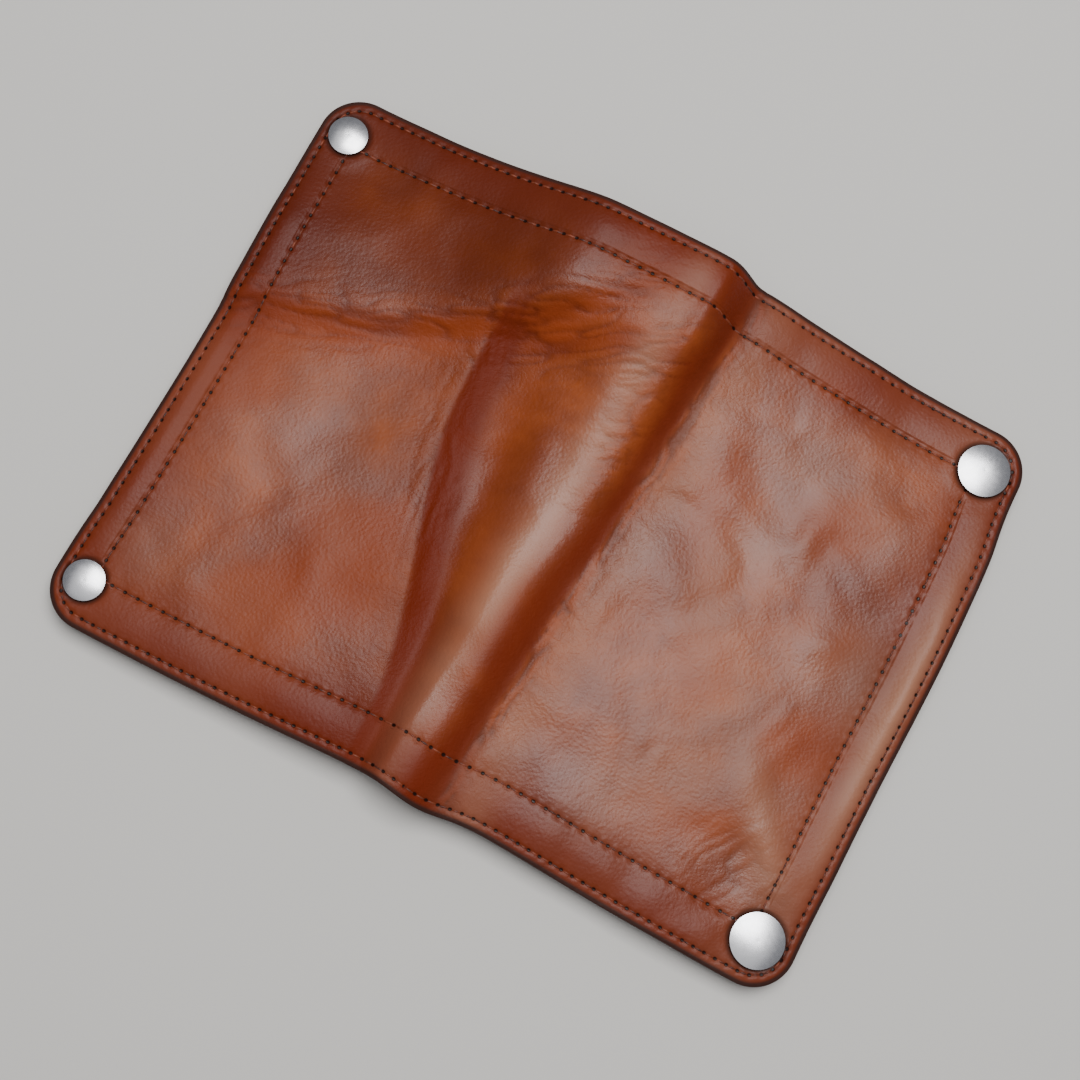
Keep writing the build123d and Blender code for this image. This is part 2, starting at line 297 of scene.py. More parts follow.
class Sheet:
    """A closed sheet of leather over the worn shape: its top, a rounded rim and its underside."""

    def __init__(self, x_lines, y_lines, radius, round_left, round_right, top, bottom, rounding):
        left = x_lines[0] if round_left else None
        right = x_lines[-1] if round_right else None
        flat = np.meshgrid(x_lines, y_lines, indexing="ij")
        x, y = round_corners(*flat, radius - rounding, left, right, y_lines[-1])
        columns, rows = x.shape
        loop = [(i, 0) for i in range(columns)]
        loop += [(columns - 1, j) for j in range(1, rows)]
        loop += [(i, rows - 1) for i in range(columns - 2, -1, -1)]
        loop += [(0, j) for j in range(rows - 2, 0, -1)]
        i, j = np.array(loop).T
        rim_x = x[i, j]
        rim_y = y[i, j]
        ahead_x = np.roll(rim_x, -1) - np.roll(rim_x, 1)
        ahead_y = np.roll(rim_y, -1) - np.roll(rim_y, 1)
        ahead = np.hypot(ahead_x, ahead_y)
        out_x = ahead_y / ahead
        out_y = -ahead_x / ahead
        high = top(rim_x, rim_y)
        low = bottom(rim_x, rim_y)
        rim_shift_x, rim_shift_y = drift(rim_x, rim_y)
        shift_x, shift_y = drift(x, y)
        upper = np.arange(columns * rows).reshape(columns, rows)
        lower = upper + columns * rows
        points = [
            np.stack([x + shift_x, y + shift_y, top(x, y)], -1).reshape(-1, 3),
            np.stack([x + shift_x, y + shift_y, bottom(x, y)], -1).reshape(-1, 3),
        ]
        flat_places = [np.stack([x, y], -1).reshape(-1, 2)] * 2
        corners = [upper[:-1, :-1], upper[1:, :-1], upper[1:, 1:], upper[:-1, 1:]]
        face = np.stack([corner.ravel() for corner in corners], -1)
        quads = [face, face[:, ::-1] + columns * rows]
        rings = [upper[i, j]]
        for turn in np.linspace(0, pi, 8)[1:-1]:
            out = rounding * np.sin(turn) ** 0.6
            z = high - (high - low) * (1 - np.cos(turn)) / 2
            ring = [rim_x + rim_shift_x + out * out_x, rim_y + rim_shift_y + out * out_y, z]
            rings.append(sum(len(p) for p in points) + np.arange(len(loop)))
            points.append(np.stack(ring, -1))
            flat_places.append(np.stack([rim_x, rim_y], -1))
        rings.append(lower[i, j])
        for above, below in zip(rings[:-1], rings[1:]):
            ahead_above = np.roll(above, -1)
            quads.append(np.stack([above, below, np.roll(below, -1), ahead_above], -1))
        self.points = np.concatenate(points)
        self.places = np.concatenate(flat_places)
        self.quads = np.concatenate(quads)
        self.edge = np.ones(len(self.points))
        self.edge[: 2 * columns * rows] = 0
        self.rings = np.array(rings)
        self.upper = upper
        self.lower = lower
        self.x_lines = x_lines
        self.normals = self.smooth_normals()

    def smooth_normals(self):
        """A normal at every vertex, so that the two halves of a parted sheet shade as one."""
        a, b, c, d = (self.points[self.quads[:, k]] for k in range(4))
        facing = np.cross(c - a, d - b)
        total = np.zeros_like(self.points)
        for k in range(4):
            for axis in range(3):
                total[:, axis] += np.bincount(
                    self.quads[:, k], weights=facing[:, axis], minlength=len(total)
                )
        return total / np.maximum(np.linalg.norm(total, axis=1, keepdims=True), 1e-12)

    def wall(self, column):
        """The vertices round the sheet's thickness where it is parted, facing the smaller x."""
        columns, rows = self.upper.shape
        far = 2 * (columns - 1) + (rows - 1) - column
        return [
            *self.upper[column],
            *self.rings[1:-1, far],
            *self.lower[column][::-1],
            *self.rings[1:-1, column][::-1],
        ]

    def piece(self, name, side=0, column=None):
        """A Blender object of the whole sheet, or of the part to one side of a grid column."""
        quads = self.quads
        faces = []
        if side:
            cut = self.x_lines[column]
            middle = self.places[quads, 0].mean(axis=1)
            quads = quads[(middle - cut) * side > 0]
            wall = self.wall(column)
            faces = [wall if side > 0 else wall[::-1]]
        loops = np.concatenate([quads.ravel(), *[np.array(face) for face in faces]])
        used, loops = np.unique(loops, return_inverse=True)
        sizes = np.array([4] * len(quads) + [len(face) for face in faces])
        mesh = bpy.data.meshes.new(name)
        mesh.vertices.add(len(used))
        mesh.vertices.foreach_set("co", (self.points[used] * MM).ravel())
        mesh.loops.add(len(loops))
        mesh.loops.foreach_set("vertex_index", loops.ravel())
        mesh.polygons.add(len(sizes))
        mesh.polygons.foreach_set("loop_start", np.concatenate([[0], np.cumsum(sizes)[:-1]]))
        mesh.polygons.foreach_set("use_smooth", np.ones(len(sizes), bool))
        mesh.update(calc_edges=True)
        mesh.validate()
        mesh.normals_split_custom_set_from_vertices(self.normals[used].tolist())
        for attribute, values in self.attributes(self.places[used], self.edge[used]).items():
            layer = mesh.attributes.new(attribute, "FLOAT_VECTOR", "POINT")
            layer.data.foreach_set("vector", values.astype(np.float32).ravel())
        return add_object(name, mesh)

    def attributes(self, places, edge):
        """What the finish of the leather needs to know about each place, three values at a time:
        both seams (along, across) with the orange patches and painted lit slopes and the wax film;
        the burnished edge with painted cap shadow, the painted crease shade and the dark border;
        and the pale, the dark and the strain, where pale is painted highlight and sheen with pull-up
        paling, and dark is painted shade with darker patches."""
        x, y = places.T
        outer_s, outer_d = outer_seam(x, y)
        inner_s, inner_d = inner_seam(x, y)
        u = main_crease(x, y)
        width = 8.4 + 2.4 * rise((20 - y) / 60) + 1.4 * soft_noise(0 * x, y, 11.0, 72)
        # Painted shade down the slope into the main crease and beside the left crease
        deep = rise((u + width) / 6.5) * (1 - rise((u + 0.5) / 1.8))
        crease_shade = np.clip(np.maximum(deep, left_shade(x, y)), 0, 1)
        inside = outline_distance(x, y, corner_radius, left_edge, right_edge, half_height)
        dark_border = 1 - rise((inside - 4) / 20)
        edge = np.maximum(edge, 1 - rise((inside - 0.7) / 0.8))
        # Painted shadow in a thin ring round each cap, carried with the burnished edge
        for distance in past_caps(x, y):
            edge = np.maximum(edge, 0.9 * bell(np.maximum(distance, 0), 0.8))
        return {
            "outer_seam": np.stack([outer_s, outer_d, rust(x, y)], -1),
            "inner_seam": np.stack([inner_s, inner_d, wax_film(x, y) * (1 - 0.9 * crease_shade)], -1),
            "wear": np.stack([edge, crease_shade, dark_border], -1),
            "tone": np.stack(tone(x, y), -1),
        }


outer_radius = corner_radius - outer_inset
outer_sides = (
    right_edge - corner_radius - spine_middle,
    2 * (half_height - corner_radius),
    right_edge - left_edge - 2 * corner_radius,
    2 * (half_height - corner_radius),
    spine_middle - left_edge - corner_radius,
)
quarter = outer_radius * pi / 2
outer_length = sum(outer_sides) + 4 * quarter
outer_pitch = outer_length / round(outer_length / 2.8)
inner_pitch = 3.2


def outer_seam(x, y):
    """How far along the outer row of stitches a place lies, and how far inside it."""
    inside = outline_distance(x, y, corner_radius, left_edge, right_edge, half_height)
    starts = np.cumsum([0, outer_sides[0], quarter, outer_sides[1], quarter, outer_sides[2], quarter])
    lower_y = corner_radius - half_height
    upper_y = half_height - corner_radius
    low_x = left_edge + corner_radius
    high_x = right_edge - corner_radius
    along_left = starts[6] + (upper_y - y)
    gaps = np.stack([y + half_height, right_edge - x, half_height - y, x - left_edge])
    nearest = np.argmin(gaps, axis=0)
    bottom = np.where(x >= spine_middle, x - spine_middle, outer_length - (spine_middle - x))
    right = starts[2] + (y - lower_y)
    top = starts[4] + (high_x - x)
    s = np.choose(nearest, [bottom, right, top, along_left])
    turns = (
        (x > high_x) & (y < lower_y),
        (x > high_x) & (y > upper_y),
        (x < low_x) & (y > upper_y),
        (x < low_x) & (y < lower_y),
    )
    left_bottom = starts[6] + outer_sides[3]
    angles = (
        starts[1] + outer_radius * (np.arctan2(y - lower_y, x - high_x) + pi / 2),
        starts[3] + outer_radius * np.arctan2(y - upper_y, x - high_x),
        starts[5] + outer_radius * (np.arctan2(y - upper_y, x - low_x) - pi / 2),
        left_bottom + outer_radius * (pi / 2 - np.arctan2(low_x - x, lower_y - y)),
    )
    for turn, angle in zip(turns, angles):
        s = np.where(turn, angle, s)
    return s, inside - outer_inset


def inner_seam(x, y):
    """How far along the nearest straight of the inner row a place lies, and how far from it."""
    gaps = [y + inner_y, x - inner_right, y - inner_y, x - inner_left]
    nearest = np.argmin(np.abs(np.stack(gaps)), axis=0)
    s = np.choose(nearest, [x, y, x, y])
    d = np.choose(nearest, [y + inner_y, inner_right - x, inner_y - y, x - inner_left])
    beyond = (x > inner_right + 1) | (x < inner_left - 1) | (np.abs(y) > inner_y + 1)
    return s, np.where(beyond, 9.0, d)


def left_shade(x, y):
    """Painted shade on the slope beside the left crease, under the terrace and along the hook."""
    d = left_crease(x, y)
    beside = rise((d + 0.9) / 1.8) * (1 - rise((d - 3.5) / 9.5)) * rise((50 - y) / 20)
    t = terrace_line(x, y)
    under = 0.35 * np.where(t < 0, bell(t, 6.0), bell(t, 3.0)) * rise((0 - x) / 22)
    hooked = 0.40 * bell(hook_line(x, y) + 4.0, 4.0) * rise((x + 34) / 12) * rise((20 - x) / 18)
    return np.maximum(np.maximum(beside, under), hooked)


def rust(x, y):
    """Painted light on the slopes of the terrace, the hook and the main crease, and brighter orange patches
    on both covers.
    """
    t = terrace_line(x, y)
    u = main_crease(x, y)
    patch = rise(1.4 * soft_noise(x, y, 17.0, 81, 0.5) + 0.15)
    # Painted light on the slopes of the terrace and the hook
    lit = 0.75 * np.where(t < 0, bell(t + 1.0, 7.0), bell(t + 1.0, 3.5)) * rise((4 - x) / 22)
    lit += 0.65 * bell(hook_line(x, y) + 1.5, 4.0) * rise((x + 36) / 12) * rise((14 - x) / 16)
    # Patches of the back cover
    lit += 0.55 * patch * rise((-20 - x) / 14) * rise((20 - y) / 24)
    lit += 0.5 * bell(np.hypot((x + 62) / 12, (y - 44) / 8), 1.0)
    # Painted light on both sides of the main crease, and between the left crease and the ridge
    lit = lit + 0.6 * bell(u - 1.5, 1.6) + 0.35 * bell(u + 10.0, 3.0)
    lit += 0.25 * bell(left_crease(x, y) - 14.0, 5.0) * rise((46 - y) / 20) * rise((y + 50) / 30)
    # Patches of the front cover
    lit += 0.45 * patch * rise((x - 20) / 12) * rise((92 - x) / 10)
    return np.clip(lit, 0, 1)


def wax_film(x, y):
    """How much of the wax film is left on the surface, which is what clouds it grey."""
    u = main_crease(x, y)
    patch = 0.5 + 0.5 * soft_noise(x, y, 14.0, 91, 0.9)
    covered = 0.02 + 0.62 * patch + 0.43 * rise((x - 14) / 14) + 0.20 * bell(u + ridge_offset, 6.0)
    covered = covered - 0.55 * rust(x, y) - 0.5 * bell(left_crease(x, y) - 4.0, 6.0) * rise((48 - y) / 16)
    return np.clip(covered, 0.05, 1.0)


def tone(x, y):
    """How pale each place is, from painted highlights and sheen with pull-up paling, how dark it is,
    from painted shade with darker patches, and where it is wrinkled."""
    u = main_crease(x, y)
    d = left_crease(x, y)
    clouds = 0.5 + 0.5 * soft_noise(x, y, 15.0, 41, 0.7)
    fine_clouds = 0.5 + 0.5 * soft_noise(x, y, 7.0, 42, 1.4)
    # Pale, painted highlight and sheen with pull-up paling: the ridge, beside the main crease, both covers,
    # the rolled free edge and its fold
    from_ridge = u + ridge_offset
    ridge = np.where(from_ridge < 0, bell(from_ridge, 5.5), bell(from_ridge, 3.6))
    pale = 0.60 * bell(y + 2, 62.0) * ridge * (0.55 + 0.45 * fine_clouds)
    pale += 0.26 * bell(u - 7.0, 6.0) * (0.5 + 0.5 * fine_clouds)
    pale += 0.20 * rise((x - 22) / 20) * clouds * rise((92 - x) / 12)
    pale += 0.14 * rise((-30 - x) / 20) * clouds * rise((20 - y) / 20)
    pale += 0.62 * bell(x - 88.0, 3.0) * bell(y + 2, 40.0)
    pale += 0.32 * bell((x - 74.5) + 0.65 * (y + 39), 5.5) * bell(y + 39, 13.0)
    # Dark: darker above the terrace, two darker spots and patches, and painted shade in the wrinkles, both
    # creases and round the caps
    dark = 0.9 * rise((terrace_line(x, y) + 1) / 12) * rise((0 - x) / 30) * (0.7 + 0.3 * fine_clouds)
    dark += 0.8 * bell(np.hypot((x - 78) / 8, (y - 3) / 12), 1.0)
    dark += 0.9 * np.clip(-wrinkles(x, y) / 0.3, 0, 1) ** 1.5
    dark += 0.35 * bell(np.hypot((x - 33) / 16, (y + 52) / 10), 1.0)
    patch = rise(1.4 * soft_noise(x, y, 13.0, 95, 0.6))
    dark += 0.38 * patch * rise((x - 16) / 10) * rise((30 - y) / 30)
    left_dark = np.where(d < 2, bell(d - 2, 1.8), bell(d - 2, 5.6)) * rise((46 - y) / 16)
    dark = dark + 0.75 * bell(u + 1.3, 1.7) + 0.85 * left_dark
    # Painted shadow in a ring round each cap
    for distance in past_caps(x, y):
        dark += bell(np.maximum(distance, 0), 0.7)
    strain = bell(terrace_line(x, y), 11.0) * rise((6 - x) / 18) + bell(u - 2.0, 11.0)
    strain += bell(d - 2.0, 8.0) * rise((48 - y) / 16)
    strain += bell(hook_line(x, y) + 4.0, 10.0) * rise((x + 34) / 10) * rise((22 - x) / 16)
    strain = strain + bell(np.hypot(x - 73, y + 50), 13.0) + 0.5 * bell(np.hypot(x - 50, y - 5), 22.0)
    return np.clip(pale, 0, 0.8), np.clip(dark, 0, 1), np.clip(strain, 0, 1)


def shell_top(x, y):
    """The outer face of the leather: worn shape, relief, pulled-in seams and the rounded border."""
    inside = outline_distance(x, y, corner_radius, left_edge, right_edge, half_height)
    outer_s, outer_d = outer_seam(x, y)
    inner_s, inner_d = inner_seam(x, y)
    held = free_of_caps(x, y, 3.0)
    pucker = 0.13 * bell(outer_d, 0.9) * np.cos(2 * pi * outer_s / outer_pitch)
    pucker += 0.13 * bell(inner_d, 0.9) * np.cos(2 * pi * inner_s / inner_pitch) * held
    pulled = 0.55 + 0.45 * soft_noise(x, y, 11.0, 31)
    outer_groove = 0.20 * bell(outer_d, 1.2) + 0.18 * bell(outer_d, 0.42)
    inner_groove = 0.30 * pulled * bell(inner_d, 2.0) + 0.18 * bell(inner_d, 0.42)
    seams = outer_groove + inner_groove * free_of_caps(x, y, 0.5)
    border = 0.28 * bell(outer_d - 4.6, 3.2) * held
    fall = 0.5 * bell(inside, 1.3)
    pressed = np.zeros_like(x)
    for distance in past_caps(x, y):
        pressed = pressed + 0.5 * bell(np.maximum(distance, 0), 0.45) - 0.16 * bell(distance - 1.8, 1.2)
    z = cover_top + lie(x, y) + relief(x, y) + border - seams - pucker - fall - pressed
    return np.maximum(z, cover_top - 1.1 + lie(x, y))


board_back_low, board_back_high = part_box("stiffener_back")
board_front_low, board_front_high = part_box("stiffener_front")
board_half = board_back_high.y / MM


def shell_bottom(x, y):
    """The flesh side of the outer leather, skived thinner where a stiffening board lies."""
    recess = np.zeros_like(x)
    for low, high in ((board_back_low, board_back_high), (board_front_low, board_front_high)):
        across = np.minimum(x - low.x / MM, high.x / MM - x)
        within = np.minimum(across, board_half - np.abs(y))
        recess += (high.z - low.z) / MM * rise(within / 0.6 + 1)
    return cover_top - shell_thickness + lie(x, y) + recess


rows_y = (-outer_y, -inner_y, inner_y, outer_y)
rim = 0.75
shell_step = 0.58
shell_y = grid_lines(rim - half_height, half_height - rim, shell_step, rows_y)
rows_left = (left_edge + outer_inset, inner_left)
rows_right = (right_edge - outer_inset, inner_right)
shell_left = grid_lines(left_edge + rim, spine_middle, shell_step, rows_left)
shell_right = grid_lines(spine_middle, right_edge - rim, shell_step, rows_right)
shell_x = np.concatenate([shell_left, shell_right[1:]])
seam_column = len(shell_left) - 1
shell = Sheet(shell_x, shell_y, corner_radius, True, True, shell_top, shell_bottom, rim)
leather_back = shell.piece("outer_leather_back", -1, seam_column)
leather_front = shell.piece("outer_leather_front", 1, seam_column)


def srgb(code):
    """A hex colour as linear red, green, blue and alpha."""
    parts = [int(code[k : k + 2], 16) / 255 for k in (1, 3, 5)]
    linear = [c / 12.92 if c <= 0.04045 else ((c + 0.055) / 1.055) ** 2.4 for c in parts]
    return (*linear, 1.0)


def add_node(material, kind, inputs=None, **settings):
    """Adds a shader node. An input given as (node, output) is linked, anything else is a value."""
    node = material.node_tree.nodes.new("ShaderNode" + kind)
    for setting, value in settings.items():
        setattr(node, setting, value)
    for socket, value in (inputs or {}).items():
        if isinstance(value, tuple) and isinstance(value[0], bpy.types.Node):
            material.node_tree.links.new(value[0].outputs[value[1]], node.inputs[socket])
        else:
            node.inputs[socket].default_value = value
    return node


def connect(material, surface, **sources):
    """Links outputs, each given as (node, output), to inputs of the surface shader."""
    for socket, (node, output) in sources.items():
        material.node_tree.links.new(node.outputs[output], surface.inputs[socket.replace("_", " ")])


def marks(place, scale, **values):
    """The inputs of a texture in the object's own space, with this many marks to the metre."""
    return {"Vector": (place, "Object"), "Scale": scale, **values}


def set_stops(ramp, *stops):
    """Sets the place and colour of each stop of a colour ramp."""
    for stop, (place, code) in zip(ramp.color_ramp.elements, stops):
        stop.position = place
        stop.color = srgb(code)


def new_material(name, **values):
    """A named material with its surface shader set to these values."""
    material = bpy.data.materials.new(name)
    material.use_nodes = True
    surface = material.node_tree.nodes["Principled BSDF"]
    for socket, value in values.items():
        surface.inputs[socket.replace("_", " ")].default_value = value
    return material, surface


# Half an awl hole along its row and across it
hole_length = 0.5
hole_width = 0.4


def awl_holes(material, rows):
    """Where the stitching awl went through: 1 in its holes, about 1 mm long, and 0 around them."""
    holes = []
    for row, pitch in rows:
        turns = add_node(material, "Math", {0: (row, "X"), 1: pitch}, operation="DIVIDE")
        nearest = add_node(material, "Math", {0: (turns, 0), 1: 0.5}, operation="PINGPONG")
        squares = []
        for part, share in (((nearest, 0), pitch / hole_length), ((row, "Y"), 1 / hole_width)):
            out = add_node(material, "Math", {0: part, 1: share}, operation="MULTIPLY")
            squares.append(add_node(material, "Math", {0: (out, 0), 1: (out, 0)}, operation="MULTIPLY"))
        reach = add_node(material, "Math", {0: (squares[0], 0), 1: (squares[1], 0)}, operation="ADD")
        fade = {0: (reach, 0), 1: 1.3, 2: 0.5, 3: 0.0, 4: 1.0}
        holes.append(add_node(material, "MapRange", fade))
    return add_node(material, "Math", {0: (holes[0], 0), 1: (holes[1], 0)}, operation="MAXIMUM")


def leather_grain(material, place, pale_dark_strain_parts, any_hole):
    """Grain: pebbles about 0.7 mm across, and wandering creases 3 mm and 1.4 mm apart where it is worked."""
    grain = add_node(material, "TexVoronoi", marks(place, 1400.0), feature="SMOOTH_F1")
    pores = add_node(material, "TexNoise", marks(place, 900.0, Detail=5.0, Roughness=0.6))
    height = add_node(material, "Math", {0: (grain, "Distance"), 1: (pores, "Fac")}, operation="ADD")
    strained = add_node(material, "MapRange", {0: (pale_dark_strain_parts, "Z"), 1: 0.0, 2: 1.0, 3: 0.05, 4: 0.9})
    for scale, depth in ((300.0, 0.55), (700.0, 0.45)):
        wandering = marks(place, scale, Detail=3.0, Roughness=0.5, Distortion=0.6)
        crinkle = add_node(material, "TexNoise", wandering)
        offset = add_node(material, "Math", {0: (crinkle, "Fac"), 1: 0.5}, operation="SUBTRACT")
        distance = add_node(material, "Math", {0: (offset, 0)}, operation="ABSOLUTE")
        groove = add_node(material, "MapRange", {0: (distance, 0), 1: 0.0, 2: 0.06, 3: -depth, 4: 0.0})
        deepened = {0: (groove, 0), 1: (strained, 0), 2: (height, 0)}
        height = add_node(material, "Math", deepened, operation="MULTIPLY_ADD")
    pierced = {0: (any_hole, 0), 1: -4.0, 2: (height, 0)}
    sunk = add_node(material, "Math", pierced, operation="MULTIPLY_ADD")
    return add_node(material, "Bump", {"Strength": 0.23, "Distance": 0.00022, "Height": (sunk, 0)})


def pull_up_leather():
    """Waxed pull-up cowhide: its oils move when it bends, so it is paler where it is pulled, with painted
    highlights and sheen there, and painted shade in its creases; what is left of the wax clouds it grey
    under a soft light."""
    material, surface = new_material(
        "waxed_pull_up_cowhide", Roughness=0.40, Specular_IOR_Level=0.13, Coat_Roughness=0.30
    )
    place = add_node(material, "TexCoord")
    parts = []
    for attribute in ("outer_seam", "inner_seam", "wear", "tone"):
        values = add_node(material, "Attribute", attribute_name=attribute)
        parts.append(add_node(material, "SeparateXYZ", {0: (values, "Vector")}))
    outer_row, inner_row, worn, pale_dark_strain_parts = parts
    # Dye takes unevenly: clouds about 33 mm and 9 mm across
    clouds = add_node(material, "TexNoise", marks(place, 30.0, Detail=4.0, Roughness=0.55))
    mottle = add_node(material, "TexNoise", marks(place, 110.0, Detail=6.0, Roughness=0.6))
    tan = add_node(material, "ValToRGB", {0: (clouds, "Fac")})
    set_stops(tan, (0.30, "#622611"), (0.64, "#96481f"))
    spots = add_node(material, "MapRange", {0: (mottle, "Fac"), 1: 0.35, 2: 0.7, 3: 0.0, 4: 0.55})
    # Masks: the darker border, the painted shade with darker patches, and the painted crease shade
    border, handled, fold = (
        add_node(material, "Math", {0: part, 1: share}, operation="MULTIPLY")
        for part, share in (((worn, "Z"), 0.80), ((pale_dark_strain_parts, "Y"), 0.8), ((worn, "Y"), 0.85))
    )
    any_hole = awl_holes(material, ((outer_row, outer_pitch), (inner_row, inner_pitch)))
    # Each shade lies over the ones before it, and the edge is burnished until its layers close up
    shades = (
        ("spots", (spots, 0), "#642610"),
        # Bright orange patches, and painted light on the slopes of the terrace, the hook and the main crease
        ("rust", (outer_row, "Z"), "#923f19"),
        ("border", (border, 0), "#6a210a"),
        # Painted shade in creases, wrinkles and round the caps, with darker patches
        ("handled", (handled, 0), "#501b0c"),
        # Painted shade in the creases
        ("folds", (fold, 0), "#6c2006"),
        # Painted highlights and sheen, with pull-up paling
        ("pulled pale", (pale_dark_strain_parts, "X"), "#b8866b"),
        # The burnished edge, and a painted shadow ring round each cap
        ("burnished edge", (worn, "X"), "#38201a"),
        # Painted shade in the awl holes
        ("awl holes", (any_hole, 0), "#1d0803"),
    )
    colour = (tan, 0)
    for label, amount, code in shades:
        mixed = {0: amount, 6: colour, 7: srgb(code)}
        shade = add_node(material, "Mix", mixed, data_type="RGBA", label=label)
        colour = (shade, 2)
    bump = leather_grain(material, place, pale_dark_strain_parts, any_hole)
    # The wax is a thin film of its own, worn off slopes and thin along the border
    thinned = add_node(material, "MapRange", {0: (worn, "Z"), 1: 0.0, 2: 1.0, 3: 0.50, 4: 0.17})
    film = add_node(material, "Math", {0: (inner_row, "Z"), 1: (thinned, 0)}, operation="MULTIPLY")
    rough = add_node(material, "MapRange", {0: (clouds, "Fac"), 1: 0.35, 2: 0.65, 3: 0.28, 4: 0.38})
    for amount, more in (((worn, "Z"), 0.12), ((fold, 0), 0.20)):
        rougher = {0: amount, 1: more, 2: (rough, 0)}
        rough = add_node(material, "Math", rougher, operation="MULTIPLY_ADD")
    connect(material, surface, Base_Color=colour, Normal=(bump, 0), Roughness=(rough, 0))
    connect(material, surface, Coat_Weight=(film, 0), Coat_Normal=(bump, 0))
    return material


outer_finish = pull_up_leather()
for leather in (leather_back, leather_front):
    leather.data.materials.append(outer_finish)
pocket_back_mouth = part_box("slip_pocket_back")[1].x
pocket_front_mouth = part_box("slip_pocket_front")[0].x
back_bend = {"start": (pocket_back_mouth, 0, 0), "end": (spine_middle * MM, 0, 0)}
front_bend = {"start": (spine_middle * MM, 0, 0), "end": (pocket_front_mouth, 0, 0)}


def bend_round_spine(piece, half):
    """Lets half of a sheet or row bend between its cover and the spine."""
    if half == "back":
        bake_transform(piece, "back_cover", "spine", **back_bend)
    else:
        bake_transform(piece, "spine", "front_cover", **front_bend)


bend_round_spine(leather_back, "back")
bend_round_spine(leather_front, "front")
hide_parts("shell_back")
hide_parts("shell_front", "shell_spine")


# ---------------------------------------------------------------- stitches
# Saddle stitching in waxed brown polyester, 0.55 mm thick: an outer row 2.6 mm from the edge through
# every layer, and an inner row through the outer leather and lining only, which stops at the caps.
# Each stitch dips into its awl holes and lies a little below the leather beside it.
thread_radius = 0.27


def outer_place(s):
    """The place on the outer row that lies this far along it."""
    s = s % outer_length
    high_x = right_edge - corner_radius
    low_x = left_edge + corner_radius
    high_y = half_height - corner_radius
    runs = (
        (outer_sides[0], lambda t: (spine_middle + t, -outer_y)),
        (quarter, lambda t: (high_x + outer_radius * np.sin(t), -high_y - outer_radius * np.cos(t))),
        (outer_sides[1], lambda t: (right_edge - outer_inset, t - high_y)),
        (quarter, lambda t: (high_x + outer_radius * np.cos(t), high_y + outer_radius * np.sin(t))),
        (outer_sides[2], lambda t: (high_x - t, outer_y)),
        (quarter, lambda t: (low_x - outer_radius * np.sin(t), high_y + outer_radius * np.cos(t))),
        (outer_sides[3], lambda t: (left_edge + outer_inset, high_y - t)),
        (quarter, lambda t: (low_x - outer_radius * np.cos(t), -high_y - outer_radius * np.sin(t))),
        (outer_sides[4], lambda t: (low_x + t, -outer_y)),
    )
    for length, place in runs:
        if s <= length:
            return place(s / outer_radius if length == quarter else s)
        s -= length
    return spine_middle, -outer_y


def thread(name, ends, height, facing, sunk):
    """One object of many stitches, each a short thread between two holes on this face of the leather."""
    ends = np.array(ends)
    shares = np.array([0.0, 0.12, 0.5, 0.88, 1.0])
    widths = thread_radius * np.array([0.55, 0.9, 1.0, 0.9, 0.55])
    dips = np.array([0.30, 0.10, 0.0, 0.10, 0.30]) + sunk
    sides = 8
    turns = np.linspace(0, 2 * pi, sides, endpoint=False)
    start = ends[:, None, :2]
    end = ends[:, None, 2:]
    middle = start + (end - start) * shares[None, :, None]
    x = middle[..., 0]
    y = middle[..., 1]
    shift_x, shift_y = drift(x, y)
    along = (end - start)[:, 0] / np.linalg.norm((end - start)[:, 0], axis=1, keepdims=True)
    z = height(x, y) - facing * dips
    beside_x = facing * along[:, 1]
    beside_y = -facing * along[:, 0]
    out = widths[:, None] * np.cos(turns)
    up = widths[:, None] * np.sin(turns) * facing
    points = np.stack(
        [
            (x + shift_x)[..., None] + beside_x[:, None, None] * out,
            (y + shift_y)[..., None] + beside_y[:, None, None] * out,
            z[..., None] + np.broadcast_to(up, z.shape + (sides,)),
        ],
        -1,
    ).reshape(-1, 3)
    faces = []
    count = sides * len(shares)
    for first in range(0, len(points), count):
        for low in range(first, first + count - sides, sides):
            high = low + sides
            for i in range(sides):
                j = (i + 1) % sides
                faces.append((low + i, high + i, high + j, low + j))
        faces.append(tuple(first + i for i in range(sides)))
        faces.append(tuple(first + count - 1 - i for i in range(sides)))
    mesh = bpy.data.meshes.new(name)
    mesh.from_pydata((points * MM).tolist(), [], faces)
    mesh.polygons.foreach_set("use_smooth", np.ones(len(faces), bool))
    stitches = add_object(name, mesh)
    mesh.materials.append(thread_finish)
    return stitches


def waxed_thread():
    """Waxed braided polyester: a soft shine broken by the twist, which turns once in 2 mm."""
    material, surface = new_material("waxed_polyester_thread", Roughness=0.55)
    place = add_node(material, "TexCoord")
    shade = add_node(material, "TexNoise", marks(place, 500.0, Detail=2.0))
    ramp = add_node(material, "ValToRGB", {0: (shade, "Fac")})
    set_stops(ramp, (0.35, "#40160a"), (0.65, "#83391b"))
    twist = add_node(material, "TexWave", marks(place, 300.0), bands_direction="DIAGONAL")
    bump = add_node(material, "Bump", {"Strength": 0.5, "Distance": 0.0001, "Height": (twist, "Fac")})
    connect(material, surface, Base_Color=(ramp, 0), Normal=(bump, 0))
    return material


thread_finish = waxed_thread()
slip_low, slip_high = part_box("slip_pocket_back")
slip_face = slip_low.z / MM
lining_face = slip_high.z / MM


def inside_face(x, y):
    """The inner face of the wallet along its edge: pockets on the covers, bare lining at the spine."""
    on_lining = (x > pocket_back_mouth / MM) & (x < pocket_front_mouth / MM)
    return np.where(on_lining, lining_face, slip_face) + lie(x, y)


